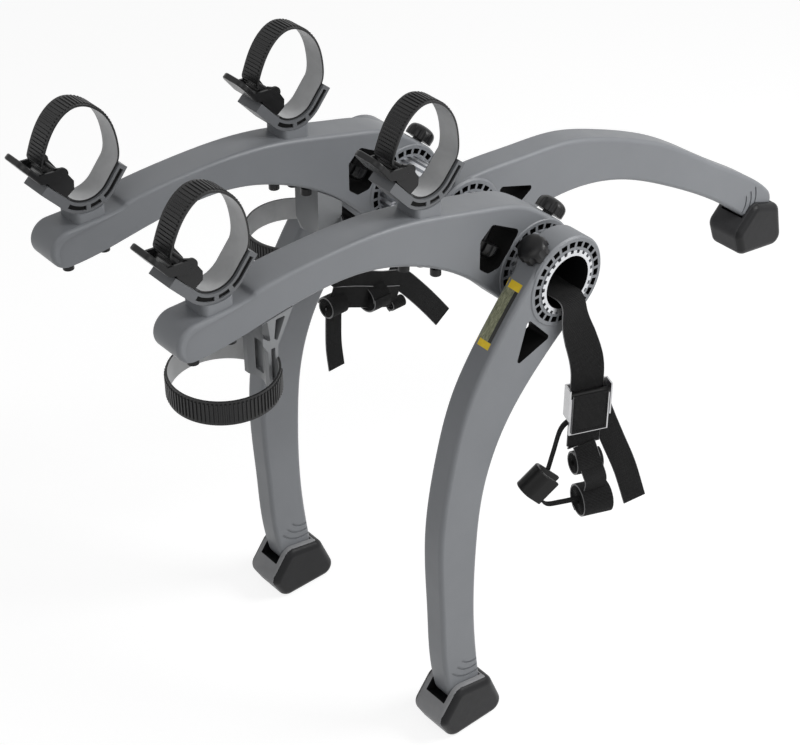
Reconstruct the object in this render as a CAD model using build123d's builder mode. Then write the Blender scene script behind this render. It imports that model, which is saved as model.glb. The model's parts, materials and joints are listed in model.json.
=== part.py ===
from build123d import *
import os
from math import cos, degrees, hypot, radians, sin

os.makedirs("parts", exist_ok=True)

# A trunk mounted bike rack. Five curved members turn on one toothed tube.
# X runs along the tube, Y points towards the car, Z is up.
# The origin is the middle of the tube. Sizes are in millimetres.

# Spline tube
tube_bore_radius = 28.5
tube_root_radius = 31.5
tube_tip_radius = 34.5
tube_tooth_count = 24
tube_tooth_share = 0.52
tube_end_stand = 1.0

# Drums round the tube
drum_radius = 49.0
drum_edge = 2.0
running_gap = 0.06
leg_drum_width = 30.0
upper_drum_width = 36.0
arm_drum_width = 42.0
leg_spacing = 298.7
arm_spacing = 198.0
pocket_inner_radius = 37.6
pocket_outer_radius = 43.4
pocket_rib = 3.2
pocket_depth = 5.5
pocket_count = 24

# Legs. Their outlines are shares of the chord and of the bulge.
lower_chord = 489.0
lower_bulge = 102.0
lower_angle = -104.3
upper_chord = 521.0
upper_bulge = 90.0
upper_angle = -19.3
leg_width = 28.0
upper_leg_width = 32.0
leg_tip_radius = 22.0
leg_edge_round = 4.5
leg_front_start_angle = 116.0
leg_front_end_angle = 62.0
leg_back_start_angle = -47.3
leg_back_end_angle = -111.5
leg_front_shares = ((0.127, 0.80), (0.24, 0.965), (0.38, 1.0), (0.58, 0.90), (0.80, 0.59))
leg_back_shares = ((0.19, 0.07), (0.317, 0.353), (0.46, 0.44), (0.611, 0.343), (0.838, 0.06))
leg_window_shares = ((0.070, 0.42), (0.123, 0.03), (0.176, 0.43))
leg_window_round = 3.5
crease_radii_shares = (1.7, 1.3, 0.9)
crease_setback = 50.0
crease_width = 2.4
crease_depth = 1.2
crease_half_angle = 42.0

# Bike arms. Their outlines are shares of the reach and of the rise.
arm_reach = 424.0
arm_rise = 117.0
arm_width = 40.0
arm_edge_round = 4.0
arm_top_start_angle = 54.0
arm_under_start_angle = 225.0
arm_top_shares = ((0.035, 0.607), (0.168, 0.762), (0.375, 0.94), (0.613, 1.0), (0.80, 0.955))
arm_under_shares = ((0.205, 0.137), (0.351, 0.479), (0.488, 0.658), (0.62, 0.701), (0.80, 0.633))
arm_tip_top_share = 0.905
arm_tip_under_share = 0.575
arm_window_shares = (
    (0.052, 0.41), (0.115, 0.13), (0.15, 0.12), (0.177, 0.20), (0.177, 0.47), (0.14, 0.585),
)
arm_window_round = 5.0
arm_recess_depth = 3.5
arm_recess_length = 110.0
arm_recess_rim = 8.0
arm_recess_round = 13.0

# Clamp knobs and the toothed shoes that they press into the tube
arm_knob_angle = 45.0
lower_knob_angle = 127.5
upper_knob_angle = 112.5
knob_radius = 15.5
knob_height = 15.0
knob_skirt = 5.0
knob_stem_radius = 5.5
knob_flute_radius = 4.5
knob_flute_count = 8
knob_stand = 2.0
shoe_width = 15.0
shoe_length = 13.0
shoe_thickness = 5.0
shoe_gap = 0.3
shoe_tooth_width = 2.4
shoe_tooth_height = 3.0
shoe_stud_radius = 3.0
shoe_stud_length = 12.0

# Front knobs, which stand in the arms' windows
front_knob_y = -57.0
front_knob_z = 33.0
front_knob_angle = 235.0
front_knob_radius = 17.0
front_knob_height = 15.0
front_stud_radius = 4.0
front_stud_length = 31.0

# Rubber feet on their pins. The outline is shares of the boot's length and drop.
boot_length = 98.0
boot_drop = 60.0
boot_width = 52.0
boot_round = 9.0
boot_corner = 14.0
boot_shares = ((0.31, -0.02), (0.55, -1.0), (-0.27, -1.0), (-0.45, -0.46), (-0.18, 0.14))
boot_gap = 0.5
boot_slot_gap = 1.8
boot_back_angle = 92.0
boot_front_angle = 151.0
boot_slot_reach = 75.0
upper_boot_angle = -8.5
foot_pin_radius = 3.0
foot_pin_length = 40.0

# Cradles that carry a bike's tube
front_cradle_y = -376.0
back_cradle_y = -136.0
cradle_height = 115.0
cradle_radius = 38.0
cradle_thickness = 10.0
cradle_skin = 2.8
cradle_width = 30.0
cradle_left_angle = 48.0
cradle_right_angle = 50.0
cradle_left_limb = 30.0
cradle_right_limb = 22.0
cradle_slot_margin = 4.0
cradle_slot_angles = ((-132.0, -97.0), (-89.0, -69.0))
cradle_long_slot_angle = -61.0
seat_front = 16.0
seat_back = 16.0
seat_sink = 22.0
seat_rise = 3.0
seat_width = 32.0
seat_round = 5.0
seat_gap = 0.15
insert_gap = 0.1
insert_inset = 1.5

# Ladder straps. A loop's points are shares of its half length and height.
strap_width = 25.0
strap_thickness = 2.0
strap_gap = 0.2
strap_start_angle = -134.0
strap_limb_share = 0.85
loop_half_length = 38.0
loop_height = 97.0
loop_shares = ((0.96, 0.50), (0.66, 0.83), (-0.05, 1.0), (-0.76, 0.83), (-1.10, 0.56))
loop_centre_share = 0.52

# Ratchet buckles on the left limbs of the cradles
buckle_y = -20.0
buckle_z = 17.0
buckle_angle = 122.0
buckle_start = 7.5
buckle_end = 40.0
buckle_width = 31.0
buckle_cheek = 2.5
buckle_floor = 2.5
buckle_height = 16.0
lever_pivot_along = 31.0
lever_pivot_up = 11.0
lever_boss_radius = 7.0
lever_pin_radius = 2.0
lever_plate_start = 42.0
lever_plate_end = 69.0
lever_plate_thickness = 6.0
lever_plate_drop = 3.0
lever_tip_round = 10.0
lever_edge_round = 1.5
lever_splay_angle = 6.0
lever_yoke = 2.2
lever_gap = 0.3

# Anti-sway brackets and their loops
sway_radius = 51.5
right_sway_y = -366.0
right_sway_z = 33.0
left_sway_y = -132.0
left_sway_z = -2.0
sway_bracket_width = 38.0
sway_height = 76.0
sway_depth = 66.0
right_sway_shares = (
    (0.12, 0.80), (0.55, 0.13), (0.55, -0.40), (0.70, -0.40), (0.72, 0.17), (1.0, 0.62), (1.0, 0.80),
)
left_sway_shares = (
    (0.23, 0.60), (0.24, -0.05), (0.33, -0.30), (0.70, -0.30), (0.73, 0.30), (0.67, 0.60),
)
sway_triangle_shares = ((0.28, 0.50), (0.56, 0.56), (0.60, 0.26))
sway_slot_shares = ((0.70, 0.54), (0.66, 0.28), (0.71, 0.24), (0.86, 0.54))
sway_lower_slot_shares = ((0.60, 0.16), (0.60, -0.30), (0.66, -0.30), (0.67, 0.16))
sway_hole_round = 1.2
sway_groove_radius = 24.0
sway_groove_depth = 4.0
sway_gap = 0.3

# Screws that hold the cradles from under the arms
screw_radius = 3.0
screw_head_radius = 5.5
screw_head_stand = 5.0
screw_head_sink = 2.5
screw_depth = 16.0
screw_spread = 11.0
screw_front = 28.0
screw_back = 12.0

# Webbing, cam buckles and hooks at the ends of the tube.
# Outlines and rolls are shares of the hang size: across, up, and for a roll its length and radius.
anchor_radius = 3.0
anchor_place = 58.0
webbing_width = 38.0
webbing_thickness = 1.8
run_slope = 24.0
run_drop = 13.5
run_reach = 192.0
right_run_y = 5.0
right_hang_x = 182.0
right_hang_y = 8.0
right_hang_turn = 22.0
left_hang_x = -186.0
hang_size = 100.0
right_webbing_shares = (
    ((-0.20, -0.126), (0.18, -0.126), (0.28, -1.0), (0.28, -1.95), (-0.08, -1.95), (-0.10, -1.0)),
    ((-0.02, -1.56), (0.38, -1.57), (0.88, -2.90), (0.62, -2.84), (0.24, -1.96)),
    ((-0.02, -1.56), (0.24, -1.56), (0.36, -2.70), (0.12, -2.70)),
)
right_roll_shares = ((0.14, -2.20, 0.29, 0.14), (0.25, -2.74, 0.34, 0.19))
left_webbing_shares = (
    ((-0.19, -0.126), (0.19, -0.126), (0.28, -1.0), (0.29, -1.90), (-0.08, -1.90), (-0.08, -1.0)),
    ((-0.15, -1.60), (0.80, -1.82), (0.90, -2.30), (-0.15, -2.12)),
    ((-0.28, -2.02), (-0.05, -2.02), (-0.07, -2.92), (-0.26, -2.78)),
    ((0.61, -1.82), (0.87, -1.90), (1.55, -2.77), (1.52, -3.02), (1.0, -2.44), (0.60, -2.20)),
)
left_roll_shares = ((-0.15, -1.99, 0.24, 0.14), (0.44, -2.11, 0.25, 0.18), (0.80, -2.38, 0.20, 0.08))
sling_shares = ((-0.04, -1.56), (-0.19, -1.67), (-0.30, -2.22), (-0.40, -2.46), (-0.30, -2.66), (0.18, -2.66))
sling_width = 7.5
cam_width = 47.0
cam_length = 38.0
cam_wall = 1.6
cam_depth = 14.0
cam_middle_share = 0.095
cam_top_share = 1.17
cam_pin_radius = 2.0
cam_pin_drop = 11.0
cam_pin_out = 6.0
cam_hub_radius = 4.4
cam_lever_length = 46.0
cam_lever_thickness = 2.5
cam_gap = 0.3
hook_width = 30.0
hook_thickness = 5.0
hook_inner_radius = 8.0
hook_reach = 28.0
hook_edge_round = 1.5
hook_gap = 0.3
right_hook_share = (0.31, -2.36)
right_hook_angle = 45.0
left_hook_share = (0.05, -0.62)
left_hook_angle = -90.0

# Overrun of every cut past the face that it opens
overrun = 3.0

tooth_pitch = 360 / tube_tooth_count
tube_length = leg_spacing + leg_drum_width + 2 * tube_end_stand
drum_bore_radius = tube_tip_radius + running_gap
shoe_face = tube_tip_radius + shoe_gap + shoe_tooth_height
shoe_back = shoe_face + shoe_thickness
shoe_seat = shoe_back + shoe_gap


def side_plane(x, angle=0.0, turned=False, y=0.0, z=0.0):
    """A plane square to X, whose own x runs at the angle in the YZ plane."""
    direction = (0, cos(radians(angle)), sin(radians(angle)))
    return Plane(origin=(x, y, z), x_dir=direction, z_dir=(-1 if turned else 1, 0, 0))


def radial_plane(x, angle, y=0.0, z=0.0):
    """A plane whose normal points along the angle in the YZ plane."""
    normal = (0, cos(radians(angle)), sin(radians(angle)))
    return Plane(origin=(x, y, z), x_dir=(1, 0, 0), z_dir=normal)


def polar(radius, angle, centre=(0, 0)):
    return (centre[0] + radius * cos(radians(angle)), centre[1] + radius * sin(radians(angle)))


def heading(angle):
    return (cos(radians(angle)), sin(radians(angle)))


def scaled(shares, length, height):
    return [(u * length, v * height) for u, v in shares]


def save(part, label):
    part.label = label
    export_step(part, f"parts/{label}.step")
    return part


# The toothed tube, open from end to end, with cross holes for the anchor pins
tooth_chord = 2 * tube_tip_radius * sin(radians(tooth_pitch * tube_tooth_share / 2))
with BuildPart() as spline_tube:
    with BuildSketch(Plane.YZ):
        Circle(tube_root_radius)
        with PolarLocations(tube_root_radius, tube_tooth_count):
            Rectangle(2 * (tube_tip_radius - tube_root_radius), tooth_chord)
        Circle(tube_tip_radius, mode=Mode.INTERSECT)
        Circle(tube_bore_radius, mode=Mode.SUBTRACT)
    extrude(amount=tube_length / 2, both=True)
    with BuildSketch(Plane.XZ):
        with Locations((anchor_place, 0), (-anchor_place, 0)):
            Circle(anchor_radius)
    extrude(amount=tube_tip_radius + overrun, both=True, mode=Mode.SUBTRACT)
save(spline_tube.part, "spline_tube")

with BuildPart() as webbing_anchor_pins:
    with BuildSketch(Plane.XZ):
        with Locations((anchor_place, 0), (-anchor_place, 0)):
            Circle(anchor_radius)
    extrude(amount=tube_root_radius, both=True)
save(webbing_anchor_pins.part, "webbing_anchor_pins")


def drum_pockets(plane, width):
    """Cutters for the ring of pockets on both faces, one of them twice as long."""
    rib_count = pocket_count - 1
    ring_middle = (pocket_outer_radius + pocket_inner_radius) / 2
    cutters = []
    for side in (-1, 1):
        with BuildPart() as ring:
            with BuildSketch(plane.offset(side * (width / 2 - pocket_depth))):
                Circle(pocket_outer_radius)
                Circle(pocket_inner_radius, mode=Mode.SUBTRACT)
                with PolarLocations(ring_middle, rib_count, angular_range=360 * rib_count / pocket_count):
                    Rectangle(2 * (pocket_outer_radius - pocket_inner_radius), pocket_rib, mode=Mode.SUBTRACT)
            extrude(amount=side * (pocket_depth + overrun))
        cutters.append(ring.part)
    return cutters


def drum_blank(plane, width):
    with BuildPart() as drum:
        with BuildSketch(plane):
            Circle(drum_radius)
        extrude(amount=width / 2, both=True)
        chamfer(drum.edges().filter_by(GeomType.CIRCLE), drum_edge)
    return drum.part


def clamp_cutter(x, angle):
    """The radial hole for a knob's stem and the seat of its shoe."""
    radial = radial_plane(x, angle)
    with BuildPart() as cutter:
        with BuildSketch(radial.offset(tube_root_radius)):
            Circle(knob_stem_radius + running_gap)
        extrude(amount=drum_radius - tube_root_radius + overrun)
        with BuildSketch(radial.offset(tube_root_radius)):
            Rectangle(shoe_length + 2 * shoe_gap, shoe_width + 2 * shoe_gap)
        extrude(amount=shoe_seat - tube_root_radius)
    return cutter.part


def make_leg(label, x, chord, bulge, angle, turned, width, drum_width, knob_angle):
    """A curved leg: its drum, its arch and its rounded tip."""
    plane = side_plane(x, angle, turned)
    front = scaled(leg_front_shares, chord, bulge)
    back = scaled(reversed(leg_back_shares), chord, bulge)
    tip = (chord, 0)
    front_start = polar(drum_radius, leg_front_start_angle)
    front_end = polar(leg_tip_radius, leg_front_end_angle, tip)
    tip_middle = polar(leg_tip_radius, (leg_front_end_angle + leg_back_end_angle) / 2, tip)
    back_end = polar(leg_tip_radius, leg_back_end_angle, tip)
    back_start = polar(drum_radius, leg_back_start_angle)
    front_tangents = (heading(leg_front_start_angle - 90), heading(leg_front_end_angle - 90))
    back_tangents = (heading(leg_back_end_angle - 90), heading(leg_back_start_angle - 90))
    crease_centre = (chord - crease_setback, 0)
    crease_reach = crease_setback + leg_tip_radius
    with BuildPart() as leg:
        with BuildSketch(plane):
            with BuildLine():
                Spline(front_start, *front, front_end, tangents=front_tangents)
                ThreePointArc(front_end, tip_middle, back_end)
                Spline(back_end, *back, back_start, tangents=back_tangents)
                ThreePointArc(back_start, (-drum_radius, 0), front_start)
            make_face()
        extrude(amount=width / 2, both=True)
        fillet(leg.faces().filter_by(Axis.X).edges(), leg_edge_round)
        add(drum_blank(plane, drum_width))
        with BuildSketch(plane):
            Circle(drum_bore_radius)
            with Locations(tip):
                Circle(foot_pin_radius + running_gap)
            with BuildLine():
                Polyline(*scaled(leg_window_shares, chord, bulge), close=True)
            make_face()
            fillet(vertices().sort_by(lambda v: hypot(v.X, v.Y))[1:4], leg_window_round)
        extrude(amount=drum_width, both=True, mode=Mode.SUBTRACT)
        # Engraved creases above the foot, on both sides
        for side in (-1, 1):
            with BuildSketch(plane.offset(side * (width / 2 - crease_depth))):
                with Locations(crease_centre):
                    for share in crease_radii_shares:
                        Circle(share * leg_tip_radius + crease_width / 2)
                        Circle(share * leg_tip_radius - crease_width / 2, mode=Mode.SUBTRACT)
                with BuildLine():
                    Polyline(
                        crease_centre,
                        polar(crease_reach, crease_half_angle, crease_centre),
                        polar(crease_reach, -crease_half_angle, crease_centre),
                        close=True,
                    )
                make_face(mode=Mode.INTERSECT)
            extrude(amount=side * (crease_depth + overrun), mode=Mode.SUBTRACT)
        for cutter in drum_pockets(plane, drum_width):
            add(cutter, mode=Mode.SUBTRACT)
        add(clamp_cutter(x, knob_angle), mode=Mode.SUBTRACT)
    return save(leg.part, label)


leg_x = leg_spacing / 2
arm_x = arm_spacing / 2
make_leg(
    "lower_leg_right", leg_x, lower_chord, lower_bulge, lower_angle, True,
    leg_width, leg_drum_width, lower_knob_angle,
)
make_leg(
    "lower_leg_left", -leg_x, lower_chord, lower_bulge, lower_angle, True,
    leg_width, leg_drum_width, lower_knob_angle,
)
make_leg(
    "upper_leg", 0.0, upper_chord, upper_bulge, upper_angle, False,
    upper_leg_width, upper_drum_width, upper_knob_angle,
)


def arm_points(shares):
    return [(-u * arm_reach, v * arm_rise) for u, v in shares]


def under_height(y):
    """The arm's underside at a place along Y, between the outline's own points."""
    points = arm_points(arm_under_shares) + [(tip_start, tip_under)]
    for (y0, z0), (y1, z1) in zip(points, points[1:]):
        if y1 <= y <= y0:
            return z0 + (z1 - z0) * (y - y0) / (y1 - y0)
    return tip_under


tip_top = arm_tip_top_share * arm_rise
tip_under = arm_tip_under_share * arm_rise
tip_start = -arm_reach + (tip_top - tip_under) / 2
cradle_places = (("front", front_cradle_y), ("back", back_cradle_y))
knob_face_y, knob_face_z = polar(front_knob_height / 2, front_knob_angle + 180, (front_knob_y, front_knob_z))


def screw_places(x):
    return [
        (x + side * screw_spread, place_y + along, under_height(place_y + along))
        for name, place_y in cradle_places
        for along in (-screw_front, screw_back)
        for side in (-1, 1)
    ]


def make_arm(label, x):
    """A bike arm: its drum, its arch, the seats of its two cradles and its window."""
    plane = side_plane(x)
    top_start = polar(drum_radius, arm_top_start_angle)
    under_start = polar(drum_radius, arm_under_start_angle)
    top_tangents = (heading(arm_top_start_angle + 90), heading(180))
    under_tangents = (heading(0), heading(arm_under_start_angle + 90))
    drum_front = polar(drum_radius, arm_under_start_angle + 90)
    with BuildPart() as arm:
        with BuildSketch(plane):
            with BuildLine():
                Spline(top_start, *arm_points(arm_top_shares), (tip_start, tip_top), tangents=top_tangents)
                ThreePointArc(
                    (tip_start, tip_top), (-arm_reach, (tip_top + tip_under) / 2), (tip_start, tip_under)
                )
                Spline(
                    (tip_start, tip_under), *reversed(arm_points(arm_under_shares)), under_start,
                    tangents=under_tangents,
                )
                ThreePointArc(under_start, drum_front, top_start)
            make_face()
        extrude(amount=arm_width / 2, both=True)
        fillet(arm.faces().filter_by(Axis.X).edges(), arm_edge_round)
        # The side is let in towards the tip, under the top's edge
        for side in (-1, 1):
            wall = Plane(
                origin=(x + side * (arm_width / 2 - arm_recess_depth), -arm_reach, 0),
                x_dir=(side * arm_recess_depth, arm_recess_length, 0),
                z_dir=(arm_recess_length, -side * arm_recess_depth, 0),
            )
            with BuildSketch(wall):
                with BuildLine():
                    Polyline(
                        (arm_recess_rim, 0), (arm_recess_rim, tip_top - arm_recess_rim),
                        (arm_recess_length, arm_rise - arm_recess_rim), (arm_recess_length, 0), close=True,
                    )
                make_face()
                fillet(vertices().group_by(Axis.X)[0].sort_by(Axis.Y)[-1], arm_recess_round)
            extrude(amount=side * (arm_recess_depth + overrun), mode=Mode.SUBTRACT)
        # Raised seats, hollowed to the cradles' round undersides
        for name, place_y in cradle_places:
            with BuildSketch(Plane.XY.offset(cradle_height - seat_sink)):
                with Locations((x, place_y + (seat_back - seat_front) / 2)):
                    RectangleRounded(seat_width, seat_front + seat_back, seat_round)
            extrude(amount=seat_sink + seat_rise)
            with BuildSketch(plane):
                with Locations((place_y, cradle_height + cradle_radius)):
                    Circle(cradle_radius + seat_gap)
            extrude(amount=seat_width, both=True, mode=Mode.SUBTRACT)
        add(drum_blank(plane, arm_drum_width))
        with BuildSketch(plane):
            with BuildLine():
                Polyline(*arm_points(arm_window_shares), close=True)
            make_face()
            fillet(vertices(), arm_window_round)
            Circle(drum_bore_radius)
        extrude(amount=arm_drum_width, both=True, mode=Mode.SUBTRACT)
        # Blind hole for the front knob's stud
        with BuildSketch(radial_plane(x, front_knob_angle + 180, knob_face_y, knob_face_z)):
            Circle(front_stud_radius + running_gap)
        extrude(amount=front_stud_length + shoe_gap, mode=Mode.SUBTRACT)
        # Screw holes with sunk heads
        for screw_x, screw_y, screw_z in screw_places(x):
            with BuildSketch(Plane.XY.offset(screw_z - screw_head_stand)):
                with Locations((screw_x, screw_y)):
                    Circle(screw_head_radius + running_gap)
            extrude(amount=screw_head_stand + screw_head_sink, mode=Mode.SUBTRACT)
            with BuildSketch(Plane.XY.offset(screw_z)):
                with Locations((screw_x, screw_y)):
                    Circle(screw_radius + running_gap)
            extrude(amount=screw_depth, mode=Mode.SUBTRACT)
        for cutter in drum_pockets(plane, arm_drum_width):
            add(cutter, mode=Mode.SUBTRACT)
        add(clamp_cutter(x, arm_knob_angle), mode=Mode.SUBTRACT)
    return save(arm.part, label)


make_arm("bike_arm_right", arm_x)
make_arm("bike_arm_left", -arm_x)
arms = (("right", arm_x), ("left", -arm_x))


def make_screws(label, x):
    with BuildPart() as screws:
        for screw_x, screw_y, screw_z in screw_places(x):
            with BuildSketch(Plane.XY.offset(screw_z - screw_head_stand)):
                with Locations((screw_x, screw_y)):
                    Circle(screw_head_radius)
            extrude(amount=screw_head_stand + screw_head_sink)
            with BuildSketch(Plane.XY.offset(screw_z)):
                with Locations((screw_x, screw_y)):
                    Circle(screw_radius)
            extrude(amount=screw_depth)
    save(screws.part, label)


def make_knob(label, place, stem, cap, cap_radius, cap_height):
    """A mushroom knob and its stem. Distances run out along its axis from the place."""
    x, angle, y, z = place
    along = (0, cos(radians(angle)), sin(radians(angle)))
    across = Plane(origin=(x, y, z), x_dir=(1, 0, 0), z_dir=(0, -along[2], along[1]))
    with BuildPart() as knob:
        with BuildSketch(across):
            with BuildLine():
                Polyline((0, cap + cap_height), *stem, (cap_radius, cap), (cap_radius, cap + knob_skirt))
                Spline((cap_radius, cap + knob_skirt), (0, cap + cap_height), tangents=((0, 1), (-1, 0)))
            make_face()
        revolve(axis=Axis((x, y, z), along))
        with BuildSketch(radial_plane(x, angle, y, z).offset(cap - overrun)):
            with PolarLocations(cap_radius + knob_flute_radius / 2, knob_flute_count):
                Circle(knob_flute_radius)
        extrude(amount=cap_height + 2 * overrun, mode=Mode.SUBTRACT)
    save(knob.part, label)


def make_shoe(label, x, angle, tooth_angles):
    """The toothed shoe and its stud, drawn back from the tube."""
    radial = radial_plane(x, angle)
    tooth_radius = (tube_root_radius + tube_tip_radius) / 2
    places = [(0, tooth_radius * sin(radians(turn))) for turn in tooth_angles]
    with BuildPart() as shoe:
        with BuildSketch(radial.offset(shoe_face)):
            Rectangle(shoe_length, shoe_width)
        extrude(amount=shoe_thickness)
        with BuildSketch(radial.offset(shoe_face - shoe_tooth_height)):
            with Locations(*places):
                Rectangle(shoe_length, shoe_tooth_width)
        extrude(amount=shoe_tooth_height)
        with BuildSketch(radial.offset(shoe_back)):
            Circle(shoe_stud_radius)
        extrude(amount=shoe_stud_length)
    save(shoe.part, label)


half_pitch = tooth_pitch / 2
clamps = (
    ("lower_right", leg_x, lower_knob_angle, (0,)),
    ("lower_left", -leg_x, lower_knob_angle, (0,)),
    ("upper", 0.0, upper_knob_angle, (0,)),
    ("arm_right", arm_x, arm_knob_angle, (-half_pitch, half_pitch)),
    ("arm_left", -arm_x, arm_knob_angle, (-half_pitch, half_pitch)),
)
cap_start = drum_radius + knob_stand
stud_radius = shoe_stud_radius + running_gap
stud_top = shoe_back + shoe_stud_length + shoe_gap
clamp_stem = (
    (0, stud_top), (stud_radius, stud_top), (stud_radius, shoe_seat), (knob_stem_radius, shoe_seat),
    (knob_stem_radius, cap_start),
)
front_stem = ((0, -front_stud_length), (front_stud_radius, -front_stud_length), (front_stud_radius, 0))
for name, x, angle, tooth_angles in clamps:
    make_knob(f"clamp_knob_{name}", (x, angle, 0, 0), clamp_stem, cap_start, knob_radius, knob_height)
    make_shoe(f"clamp_shoe_{name}", x, angle, tooth_angles)
for side_name, x in arms:
    place = (x, front_knob_angle, knob_face_y, knob_face_z)
    make_knob(f"front_knob_{side_name}", place, front_stem, 0, front_knob_radius, front_knob_height)


def make_foot(label, x, y, z, angle, width):
    """A rubber boot with the slot that the leg swings in, and its pin."""
    plane = side_plane(x, angle, y=y, z=z)
    slot_radius = leg_tip_radius + boot_gap
    side = leg_tip_radius + boot_slot_gap
    back_low = polar(side, boot_back_angle - 90)
    front_low = polar(side, boot_front_angle + 90)
    middle_angle = (boot_back_angle + boot_front_angle) / 2
    with BuildPart() as boot:
        with BuildSketch(plane):
            with BuildLine():
                Polyline(*scaled(boot_shares, boot_length, boot_drop), close=True)
            make_face()
            fillet(vertices(), boot_corner)
        extrude(amount=boot_width / 2, both=True)
        fillet(boot.faces().filter_by(Axis.X).edges(), boot_round)
        with BuildSketch(plane):
            Circle(slot_radius)
            with BuildLine():
                Polyline(
                    (0, 0), back_low, polar(boot_slot_reach, boot_back_angle, back_low),
                    polar(boot_slot_reach + slot_radius, middle_angle),
                    polar(boot_slot_reach, boot_front_angle, front_low), front_low, close=True,
                )
            make_face()
        extrude(amount=width / 2 + boot_gap, both=True, mode=Mode.SUBTRACT)
        with BuildSketch(plane):
            Circle(foot_pin_radius)
        extrude(amount=foot_pin_length / 2, both=True, mode=Mode.SUBTRACT)
    save(boot.part, f"foot_{label}")
    with BuildPart() as pin:
        with BuildSketch(plane):
            Circle(foot_pin_radius)
        extrude(amount=foot_pin_length / 2, both=True)
    save(pin.part, f"foot_pin_{label}")


lower_tip = polar(lower_chord, lower_angle)
upper_tip = polar(upper_chord, upper_angle)
make_foot("lower_right", leg_x, *lower_tip, 0.0, leg_width)
make_foot("lower_left", -leg_x, *lower_tip, 0.0, leg_width)
make_foot("upper", 0.0, *upper_tip, upper_boot_angle, upper_leg_width)

# Cradles. Their own frame has the round's lowest point at the origin.
round_centre = (0, cradle_radius)
cradle_inner_radius = cradle_radius - cradle_thickness
left_end_angle = -90 - cradle_left_angle
right_end_angle = -90 + cradle_right_angle


def limb_end(radius, end_angle, direction, length):
    return polar(length, direction, polar(radius, end_angle, round_centre))


def slot_faces(plane, gap):
    """The slots in a cradle's section, drawn in by a gap on all sides."""
    low = cradle_inner_radius + cradle_skin + gap
    high = cradle_radius - cradle_skin - gap
    turn = degrees(gap / low)
    length = cradle_right_limb - cradle_slot_margin - gap
    low_end = limb_end(low, right_end_angle, cradle_right_angle, length)
    high_end = limb_end(high, right_end_angle, cradle_right_angle, length)
    long_start = cradle_long_slot_angle + turn
    long_span = right_end_angle - long_start
    with BuildSketch(plane) as slots:
        for start, end in cradle_slot_angles:
            with BuildLine():
                CenterArc(round_centre, low, start + turn, end - start - 2 * turn)
                CenterArc(round_centre, high, start + turn, end - start - 2 * turn)
                Line(polar(low, start + turn, round_centre), polar(high, start + turn, round_centre))
                Line(polar(low, end - turn, round_centre), polar(high, end - turn, round_centre))
            make_face()
        with BuildLine():
            CenterArc(round_centre, low, long_start, long_span)
            CenterArc(round_centre, high, long_start, long_span)
            Line(polar(low, long_start, round_centre), polar(high, long_start, round_centre))
            Line(polar(low, right_end_angle, round_centre), low_end)
            Line(low_end, high_end)
            Line(high_end, polar(high, right_end_angle, round_centre))
        make_face()
    return slots.sketch


def make_cradle(label, x, place_y):
    plane = side_plane(x, y=place_y, z=cradle_height)
    outer_left = limb_end(cradle_radius, left_end_angle, 180 - cradle_left_angle, cradle_left_limb)
    inner_left = limb_end(cradle_inner_radius, left_end_angle, 180 - cradle_left_angle, cradle_left_limb)
    outer_right = limb_end(cradle_radius, right_end_angle, cradle_right_angle, cradle_right_limb)
    inner_right = limb_end(cradle_inner_radius, right_end_angle, cradle_right_angle, cradle_right_limb)
    round_span = right_end_angle - left_end_angle
    with BuildPart() as cradle:
        with BuildSketch(plane):
            with BuildLine():
                CenterArc(round_centre, cradle_radius, left_end_angle, round_span)
                Line(polar(cradle_radius, right_end_angle, round_centre), outer_right)
                Line(outer_right, inner_right)
                Line(inner_right, polar(cradle_inner_radius, right_end_angle, round_centre))
                CenterArc(round_centre, cradle_inner_radius, left_end_angle, round_span)
                Line(polar(cradle_inner_radius, left_end_angle, round_centre), inner_left)
                Line(inner_left, outer_left)
                Line(outer_left, polar(cradle_radius, left_end_angle, round_centre))
            make_face()
        extrude(amount=cradle_width / 2, both=True)
        extrude(slot_faces(plane, 0), amount=cradle_width, both=True, mode=Mode.SUBTRACT)
    save(cradle.part, label)


def make_inserts(label, x):
    """The black filling of the slots of both cradles on one arm."""
    with BuildPart() as inserts:
        for name, place_y in cradle_places:
            slots = slot_faces(side_plane(x, y=place_y, z=cradle_height), insert_gap)
            extrude(slots, amount=cradle_width / 2 - insert_inset, both=True)
    save(inserts.part, label)


def buckle_point(along, up):
    """A place on a buckle, in its cradle's frame."""
    start = polar(along, buckle_angle, (buckle_y, buckle_z))
    return polar(up, buckle_angle - 90, start)


def strap_side(shift):
    """One face of a ladder strap's loop: its round, limb, free loop and buckle run."""
    radius = cradle_inner_radius - strap_gap - strap_thickness / 2 + shift
    limb = strap_limb_share * cradle_right_limb
    start = polar(radius, strap_start_angle, round_centre)
    round_end = polar(radius, right_end_angle, round_centre)
    limb_top = polar(limb, cradle_right_angle, round_end)
    middle = (0, cradle_thickness + loop_centre_share * loop_height)
    free = []
    for y, z in scaled(loop_shares, loop_half_length, loop_height):
        z = z + cradle_thickness
        reach = hypot(y - middle[0], z - middle[1])
        free.append((y + shift * (y - middle[0]) / reach, z + shift * (z - middle[1]) / reach))
    run_up = buckle_floor + strap_gap + strap_thickness / 2 - shift
    mouth = buckle_point(buckle_end, run_up)
    end = buckle_point(buckle_start, run_up)
    return start, round_end, limb_top, free, mouth, end, radius


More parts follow.
